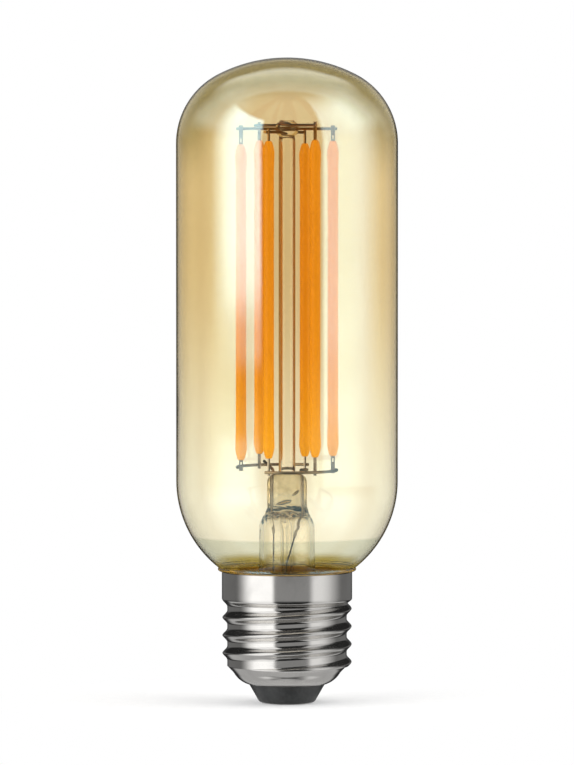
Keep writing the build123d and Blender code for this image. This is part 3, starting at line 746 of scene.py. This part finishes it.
class BULB_OT_press_stem(Operator):
    """Press the glass stem round its leads, and finish the exhaust tube inside it"""

    bl_idname = "bulb.press_stem"
    bl_label = "Press glass stem"
    ring_points, flare_steps, press_steps, cavity_steps = 160, 18, 44, 14
    seal_gap = 0.00003  # between the flare and the neck
    width_lead, depth_lead = 0.0006, 0.001  # how far under the tube's top the pinch starts
    depth_round = 2 / 3  # rounding of the press's top in depth, as a share of that in width
    top_rings = (0.8, 0.5, 0.2)  # shares of the press's top that its inner rings take up
    oblong, cavity_oblong = 0.2, 0.6  # how far a section departs from an ellipse
    fold_depth, cavity_fold = 0.0001, 0.0002
    fold_rise, fold_fall = 0.0025, 0.002  # heights over which the folds come and go
    cavity_narrow, cavity_flat = 0.25, 0.62  # shares of its width and depth that the cavity loses
    cavity_close, close_start = 0.55, 0.4  # share that it closes by, and from where
    cavity_tip = 0.0002
    # Centre, radii and lean in degrees of each bubble in the press.
    bubbles = (
        ((-0.0006, -0.0003, 0.0408), (0.0016, 0.0008, 0.0005), -18),
        ((0.0017, -0.0006, 0.0428), (0.0009, 0.0004, 0.0003), -40),
    )

    def execute(self, context):
        sizes, colours = context.scene.bulb_sizes, context.scene.bulb_colours
        low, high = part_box("glass_stem")
        rim = high.x - self.seal_gap
        tube_z = low.z + sizes.stem_top
        inner = self.inner_skin(sizes, low.z, rim, tube_z)
        outer = self.outer_skin(sizes, low.z, high.z, rim, tube_z)
        mesh = bmesh.new()
        skin(mesh, inner[::-1] + outer)
        bmesh.ops.recalc_face_normals(mesh, faces=mesh.faces)
        for centre, radii, lean in self.bubbles:
            turn = Matrix.Rotation(math.radians(lean), 4, "Y")
            place = Matrix.Translation(centre) @ turn @ Matrix.Diagonal((*radii, 1.0))
            ball = bmesh.ops.create_icosphere(mesh, subdivisions=3, radius=1.0, matrix=place)
            pocket = list({face for vert in ball["verts"] for face in vert.link_faces})
            bmesh.ops.reverse_faces(mesh, faces=pocket)
        piece = finished(mesh, "pressed_stem")
        glass = clear_glass(
            "clear_glass",
            colours,
            band=PRESS,
            low_edge_shade=colours.stem_edge_shade,
            pressed=colours.press,
            sides=colours.press_side,
            high_edge_shade=colours.press_edge_shade,
            slant=(0.12, 0.62),
            clouds=(0.1, 0.7),
        )
        fit(piece, "glass_stem", glass)
        dress(["exhaust_tube"], glass)
        return {"FINISHED"}

    def outer_skin(self, sizes, foot, top, rim, tube_z):
        """Rings from the flare's foot to the middle of the press's top."""
        radius, ease = sizes.stem_radius, sizes.press_round
        press_z = tube_z + sizes.press_rise
        rim_z = foot + sizes.flare_rim

        def section(z):
            share = smooth(tube_z - self.width_lead, press_z - self.width_lead, z)
            flat = smooth(tube_z - self.depth_lead, press_z, z)
            over = max(z - (top - ease), 0.0) / ease
            drawn_in = ease * (1 - math.sqrt(max(1 - over**2, 0.0)))
            wide = radius + (sizes.press_width / 2 - radius) * share - drawn_in
            deep = radius + (sizes.press_depth / 2 - radius) * flat - drawn_in * self.depth_round
            come = smooth(tube_z, tube_z + self.fold_rise, z)
            stay = 1 - smooth(press_z - self.fold_fall, press_z, z)
            ring = flattened(wide, deep, 2 + self.oblong * share, z, self.ring_points)
            return [self.folded(point, self.fold_depth * come * stay) for point in ring]

        outline = [(rim, foot), (rim, rim_z)]
        outline += self.flare(radius, foot + sizes.flare_height, rim_z, rim)
        rings = turned(outline, self.ring_points)
        for i in range(self.press_steps + 1):
            rings.append(section(tube_z + (top - tube_z) * i / self.press_steps))
        brow = rings[-1]
        rings += [[(x * share, y * share, top) for x, y, _ in brow] for share in self.top_rings]
        return rings + [[(0.0, 0.0, top)]]

    def inner_skin(self, sizes, foot, rim, tube_z):
        """Rings from the flare's foot to the tip of the cavity in the press."""
        wall = sizes.stem_wall
        bore = sizes.stem_radius - wall
        flare = self.flare(bore, foot + sizes.flare_height - wall, foot, rim - wall)
        rings = turned(flare, self.ring_points)
        start_z, cavity_z = tube_z - self.depth_lead, tube_z + sizes.cavity_rise
        for i in range(self.cavity_steps + 1):
            share = i / self.cavity_steps
            z = start_z + (cavity_z - start_z) * math.sin(share * math.pi / 2)
            closed = 1 - self.cavity_close * smooth(self.close_start, 1.0, share)
            wide = bore * (1 - self.cavity_narrow * share) * closed
            deep = bore * (1 - self.cavity_flat * share) * closed
            ring = flattened(wide, deep, 2 + self.cavity_oblong * share, z, self.ring_points)
            rings.append([self.folded(point, self.cavity_fold * share) for point in ring])
        return rings + [[(0.0, 0.0, cavity_z + self.cavity_tip)]]

    def flare(self, radius, top, bottom, edge):
        """Side outline of a flare, from its edge up to where it is upright."""
        rise, reach = top - bottom, edge - radius
        bend = (rise**2 + reach**2) / (2 * reach)
        start = 180 + math.degrees(math.asin(rise / bend))
        return arc((radius + bend, top), bend, start, 180, self.flare_steps)

    @staticmethod
    def folded(point, depth):
        """Point of the pinched glass, moved by soft folds: two crossed waves and a finer one."""
        millimetres, finer = 1000, 0.6
        x, y, z = (millimetres * v for v in point)
        fold = math.sin(1.9 * x + 2.3 * z) * math.sin(1.6 * y - 1.8 * z + 0.7)
        fold += finer * math.sin(3.7 * x - 2.9 * y + 3.3 * z)
        span = math.hypot(x, y) or 1.0
        return (point[0] + x / span * fold * depth, point[1] + y / span * fold * depth, point[2])


class BULB_OT_draw_rod(Operator):
    """Draw the glass support rod with the bead that holds the cross wires"""

    bl_idname = "bulb.draw_rod"
    bl_label = "Draw support rod"
    ring_points, bead_steps, round_steps = 96, 24, 5
    foot_gap, tip_height = 0.00002, 0.00035  # under the rod, and over its bead
    foot_round, tip_round = 0.0002, 0.0003
    drawn_in = 0.94  # share of the rod's radius that is left at the bead
    waist, tinged = 0.0012, 0.001  # where the rod narrows under the bead, and the tone's change

    def execute(self, context):
        sizes, colours = context.scene.bulb_sizes, context.scene.bulb_colours
        low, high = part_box("support_rod")
        radius, bead = sizes.rod_radius, sizes.bead_radius
        bead_z = sum(c.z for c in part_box("cross_wire_1")) / 2
        half = high.z - bead_z - self.tip_height
        foot_r, foot_z = radius - self.foot_round, low.z + self.foot_gap
        narrow = radius * self.drawn_in
        outline = [(0.0, foot_z), (foot_r, foot_z)]
        outline += arc((foot_r, foot_z + self.foot_round), self.foot_round, -90, 0, self.round_steps)
        outline += [(radius, bead_z - half - self.waist)]
        for i in range(self.bead_steps + 1):
            share = -1 + 2 * i / self.bead_steps
            swell = (1 - share**2) ** 0.5
            outline.append((narrow + (bead - narrow) * swell, bead_z + half * share))
        tip_centre = (narrow - self.tip_round, high.z - self.tip_round)
        outline += arc(tip_centre, self.tip_round, 0, 90, self.round_steps) + [(0.0, high.z)]
        piece = lofted("drawn_rod", turned(outline, self.ring_points))
        glass = clear_glass(
            "rod_glass",
            colours,
            band=(bead_z - self.waist - self.tinged, bead_z - self.waist),
            low_edge_shade=colours.rod_edge_shade,
            pressed=colours.clear,
            sides=colours.bead_side,
            high_edge_shade=colours.bead_edge_shade,
            slant=(0.08, 0.42),
            clouds=(0.0, 0.05),
        )
        fit(piece, "support_rod", glass)
        return {"FINISHED"}


class BULB_OT_coat_filaments(Operator):
    """Coat the six filament strips, with swollen and tapered ends"""

    bl_idname = "bulb.coat_filaments"
    bl_label = "Coat filaments"
    ring_points, steps = 40, 150
    settled = 3.2  # tapers from an end to where its swelling is over
    uneven = 0.012  # share by which a filament's radius varies
    long_wave, short_wave, shift = 9.0, 31.0, 2.1  # of that, and from one filament to the next

    def execute(self, context):
        sizes = context.scene.bulb_sizes
        taper, tip = sizes.coat_taper, sizes.coat_tip
        coat = filament_coat(context.scene.bulb_colours)
        for k, node in enumerate(numbered("filament", FILAMENTS)):
            low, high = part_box(node)
            centre = ((low.x + high.x) / 2, (low.y + high.y) / 2)
            full = (high.x - low.x) / 2
            span = high.z - low.z
            rings = [[(*centre, low.z)]]
            for i in range(self.steps + 1):
                along = 0.5 - 0.5 * math.cos(math.pi * i / self.steps)
                end = min(along, 1 - along) * span
                radius = tip + (full - tip) * min(math.sqrt(max(end / taper, 0.0)), 1.0)
                radius -= sizes.coat_swell * smooth(taper, self.settled * taper, end)
                wave = math.sin(self.long_wave * along + self.shift * k)
                wave *= math.sin(self.short_wave * along + k)
                radius *= 1 + self.uneven * wave
                rings += turned([(radius, low.z + along * span)], self.ring_points, centre)
            rings.append([(*centre, high.z)])
            fit(lofted(f"coated_filament_{k + 1}", rings), node, coat)
        return {"FINISHED"}


class BULB_OT_dress_wires(Operator):
    """Finish the tabs, the cross and frame wires and the leads"""

    bl_idname = "bulb.dress_wires"
    bl_label = "Finish tabs and wires"

    def execute(self, context):
        colours = context.scene.bulb_colours
        tabs = numbered("bottom_tab", FILAMENTS) + numbered("top_tab", FILAMENTS)
        wires = numbered("cross_wire", CROSS_WIRES) + ["back_frame_wire", "front_frame_wire"]
        wires += ["left_inner_lead", "right_inner_lead"]
        leads = ["left_outer_lead", "right_outer_lead"]
        high_up = colours.browned
        dress(tabs, metal("tab_metal", colours.tab, rough=0.3, dull=0.5, scale=6000.0, upper=high_up))
        dress(wires, metal("nickel_wire", colours.wire, rough=0.28, dull=0.5, scale=6000.0, upper=high_up))
        dress(leads, metal("copper_wire", colours.lead, rough=0.3, dull=0.5, scale=8000.0))
        return {"FINISHED"}


class BULB_OT_roll_shell(Operator):
    """Roll the screw shell with its round thread, collar and bowl"""

    bl_idname = "bulb.roll_shell"
    bl_label = "Roll screw shell"
    ring_points, bowl_steps, thread_rows, step_rows, edge_steps, inner_steps = 288, 22, 132, 8, 6, 12
    bowl_centre = (0.006485, 0.008652)
    bowl_start, bowl_end, inner_end = -76, -30, -28  # degrees
    # Radius and height of the points between the bowl and the thread, and the thread's lower end.
    shoulder = ((0.01102, 0.00640), (0.01150, 0.00690), (0.01186, 0.00728))
    thread_foot = 0.007554
    step_lift, step_ease = 0.0001, -0.15  # start of the step between the thread and the collar
    collar_start = 0.0008  # over the collar's foot
    edge_radius = 0.00014
    laps = range(-1, 5)
    run_in = 200 / 360  # turns over which the thread rises from the bowl
    crest_shape = 0.85  # below 1 for a narrower crest

    def execute(self, context):
        sizes, colours = context.scene.bulb_sizes, context.scene.bulb_colours
        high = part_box("screw_shell")[1]
        collar, root, wall, bowl = high.x, sizes.root_radius, sizes.shell_wall, sizes.bowl_radius
        step = collar - root
        collar_z = high.z - sizes.collar_height
        step_z = collar_z - step
        thread_top = step_z + self.step_lift
        foot = arc(self.bowl_centre, bowl, self.bowl_start, self.bowl_end, self.bowl_steps)
        threaded = []
        for i in range(self.thread_rows + 1):
            share = i / self.thread_rows
            threaded.append((root, self.thread_foot + (thread_top - self.thread_foot) * share))
        for i in range(1, self.step_rows + 1):
            share = i / self.step_rows
            threaded.append((root + step * smooth(self.step_ease, 1.0, share), thread_top + step * share))
        edge_centre = (collar - self.edge_radius, high.z - self.edge_radius)
        rest = [(collar, collar_z + self.collar_start)]
        rest += arc(edge_centre, self.edge_radius, 0, 90, self.edge_steps)
        rest += [(collar - wall, high.z), (collar - wall, collar_z)]
        rest += [(root - wall, step_z), (root - wall, self.thread_foot)]
        rest += arc(self.bowl_centre, bowl - wall, self.inner_end, self.bowl_start, self.inner_steps)
        rings = turned([*foot, *self.shoulder], self.ring_points)
        rings += [self.threaded_ring(sizes, radius, z) for radius, z in threaded]
        rings += turned(rest, self.ring_points)
        piece = lofted("rolled_shell", rings, closed=True)
        plate = metal("shell_metal", colours.nickel, rough=0.1, dull=0.17, scale=5000.0)
        fit(piece, "screw_shell", plate)
        return {"FINISHED"}

    def threaded_ring(self, sizes, radius, z):
        """Ring of the shell's outside, moved out where the thread is."""
        ring = []
        for i in range(self.ring_points):
            angle = 2 * math.pi * i / self.ring_points
            out = max(radius, self.crest(sizes, angle, z))
            ring.append((out * math.cos(angle), out * math.sin(angle), z))
        return ring

    def crest(self, sizes, angle, z):
        """Radius of the thread's round crest at an angle and a height."""
        turn = angle / (2 * math.pi)
        best = 0.0
        for lap in self.laps:
            along = turn + lap
            middle = sizes.thread_start + sizes.thread_pitch * along
            away = abs(z - middle) / (sizes.thread_width / 2)
            if away < 1:
                sink = min(max(-along / self.run_in, 0.0), 1.0)
                best = max(best, 0.5 + 0.5 * math.cos(math.pi * away**self.crest_shape) - sink)
        return sizes.root_radius + sizes.thread_depth * best


class BULB_OT_dress_cap(Operator):
    """Finish the insulator, the centre contact and the cement ring"""

    bl_idname = "bulb.dress_cap"
    bl_label = "Finish insulator, contact and cement"

    def execute(self, context):
        colours = context.scene.bulb_colours
        black = plain("black_insulator", colours.insulator, rough=0.3, dull=0.45, scale=1500.0, bump=0.08)
        tin = metal("contact_metal", colours.contact, rough=0.22, dull=0.42, scale=4000.0)
        cement = plain("cement", colours.cement, rough=0.75, dull=0.95, scale=900.0, bump=0.5)
        dress(["insulator"], black)
        dress(["centre_contact"], tin)
        dress(["cement"], cement)
        return {"FINISHED"}


class BULB_OT_dress_driver(Operator):
    """Finish the driver board, the parts on it and its wires"""

    bl_idname = "bulb.dress_driver"
    bl_label = "Finish driver"

    def execute(self, context):
        colours = context.scene.bulb_colours
        mould = plain("black_mould", colours.mould, rough=0.4, dull=0.6, scale=2500.0, bump=0.12)
        board = plain("board", colours.board, rough=0.3, dull=0.5, scale=1200.0, bump=0.1)
        sleeve = plain("capacitor_sleeve", colours.sleeve, rough=0.25, dull=0.4, scale=700.0, bump=0.05)
        lacquer = plain("resistor_body", colours.resistor, rough=0.35, dull=0.5, scale=1500.0, bump=0.1)
        copper = metal("hookup_wire", colours.lead, rough=0.3, dull=0.5, scale=8000.0)
        dress(["driver_board"], board)
        dress(["bridge_rectifier", "driver_chip"], mould)
        dress(["smoothing_capacitor"], sleeve)
        dress(["fuse_resistor"], lacquer)
        dress(["contact_wire", "shell_wire"], copper)
        return {"FINISHED"}


class BULB_OT_set_stage(Operator):
    """Set the floor, the studio light and the camera"""

    bl_idname = "bulb.set_stage"
    bl_label = "Set stage"
    floor_drop = 0.00002
    shadow_fade, shadow_left = (0.005, 0.06), 0.3  # metres from the axis, and how white its middle is
    mirror_fade = (0.003, 0.012)  # metres from the axis at which reflections lose the floor
    lean_from, lean_up, lean = -27.0, (0.0, 40.0), 0.3  # tilt of the left soft box's upper edge
    ceiling_scale, least_rise = 45.0, 0.02  # degrees at a slope of 1, and the flattest slope
    two_walls = 2.5  # crossings of glass after which a ray is inside the bulb
    beside, behind = (95.0, 125.0), (130.0, 155.0)  # degrees round from the front

    def execute(self, context):
        scene, stage = context.scene, context.scene.bulb_stage
        scene.view_settings.view_transform = "Standard"
        scene.cycles.max_bounces = scene.cycles.transmission_bounces = 32
        self.floor(scene.bulb_colours)
        scene.world = self.studio(stage)
        lens = bpy.data.cameras.new("photo_camera")
        lens.lens = lens.sensor_width * stage.camera_distance / stage.picture_height
        lens.clip_end = 20.0
        camera = bpy.data.objects.new("photo_camera", lens)
        camera.location = (0.0, -stage.camera_distance, stage.camera_height)
        way = Vector((0.0, 0.0, stage.aim_height)) - camera.location
        camera.rotation_euler = way.to_track_quat("-Z", "Y").to_euler()
        scene.collection.objects.link(camera)
        scene.camera = camera
        return {"FINISHED"}

    def floor(self, colours):
        """Pale floor that keeps the bulb's shadow and fades to white round it."""
        mesh = bmesh.new()
        bmesh.ops.create_circle(mesh, cap_ends=True, segments=96, radius=1.0)
        floor = finished(mesh, "pale_floor")
        floor.location.z = -self.floor_drop
        material, tree = bare("pale_floor")
        away = add(tree, "ShaderNodeVectorMath", {0: here(tree)}, operation="LENGTH").outputs["Value"]
        path = add(tree, "ShaderNodeLightPath").outputs
        seen = sums(tree, "MAXIMUM", path["Is Camera Ray"], path["Is Transmission Ray"])
        fibres = grouped(tree, "Grain", grain_group, {"Scale": 300.0})["Mask"]
        shade = blended(tree, fibres, opaque(colours.paper), opaque(colours.fibre))
        paper = add(tree, "ShaderNodeBsdfPrincipled", {"Base Color": shade, "Roughness": 0.9})
        white = add(tree, "ShaderNodeEmission", {"Color": (1.0, 1.0, 1.0, 1.0), "Strength": 1.0})
        fade = ranged(tree, away, *self.shadow_fade, self.shadow_left, 1.0)
        lit = layered(tree, sums(tree, "MULTIPLY", seen, fade), paper.outputs[0], white.outputs[0])
        gone = sums(tree, "MULTIPLY", path["Is Glossy Ray"], ranged(tree, away, *self.mirror_fade))
        through = add(tree, "ShaderNodeBsdfTransparent").outputs[0]
        close(tree, layered(tree, gone, lit, through))
        floor.data.materials.append(material)

    def directions(self, tree):
        """Angles of a direction in degrees, 0 at the camera's side, and its place on the ceiling."""
        place = add(tree, "ShaderNodeTexCoord").outputs["Generated"]
        x, y, z = add(tree, "ShaderNodeSeparateXYZ", {0: place}).outputs
        azimuth = sums(tree, "DEGREES", sums(tree, "ARCTAN2", x, sums(tree, "MULTIPLY", y, -1.0)))
        elevation = sums(tree, "DEGREES", sums(tree, "ARCSINE", z))
        from_edge = sums(tree, "SUBTRACT", azimuth, self.lean_from)
        lean = sums(tree, "MULTIPLY", from_edge, ranged(tree, elevation, *self.lean_up, 0.0, self.lean))
        rise = sums(tree, "MAXIMUM", z, self.least_rise)
        slopes = [sums(tree, "DIVIDE", run, rise) for run in (x, y)]
        return {
            "azimuth": azimuth,
            "aside": sums(tree, "ABSOLUTE", azimuth),
            "elevation": elevation,
            "leaning": sums(tree, "ADD", elevation, lean),
            "ceiling_x": sums(tree, "MULTIPLY", slopes[0], self.ceiling_scale),
            "ceiling_y": sums(tree, "MULTIPLY", slopes[1], self.ceiling_scale),
        }

    def studio(self, stage):
        """White background, and the soft boxes, walls, ceiling and table that the bulb mirrors."""
        world = bpy.data.worlds.new("studio")
        world.use_nodes = True
        tree = world.node_tree
        tree.nodes.clear()
        angles = self.directions(tree)
        aside = angles["aside"]

        def summed(panels):
            total = stage.ambient
            for name, across, upright, *edges in panels:
                values = {"Across": angles[across], "Upright": angles[upright]}
                for side, (limit, fade) in zip(("Left", "Right", "Low", "High"), edges):
                    values[side], values[side + " Fade"] = limit, fade
                mask = grouped(tree, "Soft box", soft_box_group, values)["Mask"]
                total = sums(tree, "MULTIPLY_ADD", mask, getattr(stage, name), total)
            return total

        path = add(tree, "ShaderNodeLightPath").outputs
        # Mirrored in the outer glass, and weaker on plain surfaces.
        sharp = sums(tree, "MAXIMUM", path["Is Glossy Ray"], path["Is Transmission Ray"])
        share = ranged(tree, sharp, 0.0, 1.0, stage.fill, 1.0)
        outer = sums(tree, "MULTIPLY", summed(GLASS_PANELS), share)
        # Mirrored in the far wall and in the glass inside the bulb.
        inside = sums(tree, "GREATER_THAN", path["Transmission Depth"], self.two_walls)
        backdrop = ranged(tree, aside, *self.beside, stage.inner, stage.behind)
        hollow = sums(tree, "ADD", summed(INNER_PANELS), backdrop)
        # Seen along the glass wall, at the bulb's outline.
        within = sums(tree, "SUBTRACT", path["Is Transmission Ray"], inside)
        along = ranged(tree, aside, *self.behind, 0.0, stage.wall)
        wall = sums(tree, "MULTIPLY", sums(tree, "MAXIMUM", within, 0.0), along)
        glass = sums(tree, "ADD", averaged(tree, inside, outer, hollow), wall)
        # Mirrored in satin metal.
        blurred = sums(tree, "SUBTRACT", path["Is Glossy Ray"], path["Is Singular Ray"])
        satin = sums(tree, "MAXIMUM", blurred, 0.0)
        mirrored = averaged(tree, satin, glass, summed(METAL_PANELS))
        # White where the camera sees it, straight or through glass.
        straight = sums(tree, "LESS_THAN", path["Glossy Depth"], NONE_YET)
        through = sums(tree, "MULTIPLY", path["Is Transmission Ray"], straight)
        seen = sums(tree, "MAXIMUM", path["Is Camera Ray"], through)
        strength = averaged(tree, seen, mirrored, 1.0)
        light = add(tree, "ShaderNodeBackground", {"Color": (1.0, 1.0, 1.0, 1.0), "Strength": strength})
        add(tree, "ShaderNodeOutputWorld", {"Surface": light.outputs[0]})
        return world


OPERATORS = (
    BULB_OT_blow_glass,
    BULB_OT_press_stem,
    BULB_OT_draw_rod,
    BULB_OT_coat_filaments,
    BULB_OT_dress_wires,
    BULB_OT_roll_shell,
    BULB_OT_dress_cap,
    BULB_OT_dress_driver,
    BULB_OT_set_stage,
)


class BULB_PT_panel(Panel):
    """Lists the steps that dress the bulb, and their sizes, colours and levels"""

    bl_idname = "BULB_PT_panel"
    bl_label = "Filament bulb"
    bl_space_type = "VIEW_3D"
    bl_region_type = "UI"
    bl_category = "Bulb"

    def draw(self, context):
        for made in OPERATORS:
            self.layout.operator(made.bl_idname)
        scene = context.scene
        for owner in (scene.bulb_sizes, scene.bulb_colours, scene.bulb_stage):
            box = self.layout.box()
            for name in owner.__annotations__:
                box.prop(owner, name)


CLASSES = (BulbSizes, BulbColours, BulbStage, *OPERATORS, BULB_PT_panel)


def register():
    """Adds the classes and the scene's settings."""
    for made in CLASSES:
        bpy.utils.register_class(made)
    bpy.types.Scene.bulb_sizes = PointerProperty(type=BulbSizes)
    bpy.types.Scene.bulb_colours = PointerProperty(type=BulbColours)
    bpy.types.Scene.bulb_stage = PointerProperty(type=BulbStage)


def unregister():
    """Takes the settings and the classes away again."""
    del bpy.types.Scene.bulb_stage, bpy.types.Scene.bulb_colours, bpy.types.Scene.bulb_sizes
    for made in reversed(CLASSES):
        bpy.utils.unregister_class(made)


def main():
    """Makes every piece and the stage."""
    register()
    bpy.ops.bulb.blow_glass()
    bpy.ops.bulb.press_stem()
    bpy.ops.bulb.draw_rod()
    bpy.ops.bulb.coat_filaments()
    bpy.ops.bulb.dress_wires()
    bpy.ops.bulb.roll_shell()
    bpy.ops.bulb.dress_cap()
    bpy.ops.bulb.dress_driver()
    bpy.ops.bulb.set_stage()


if __name__ == "__main__":
    main()
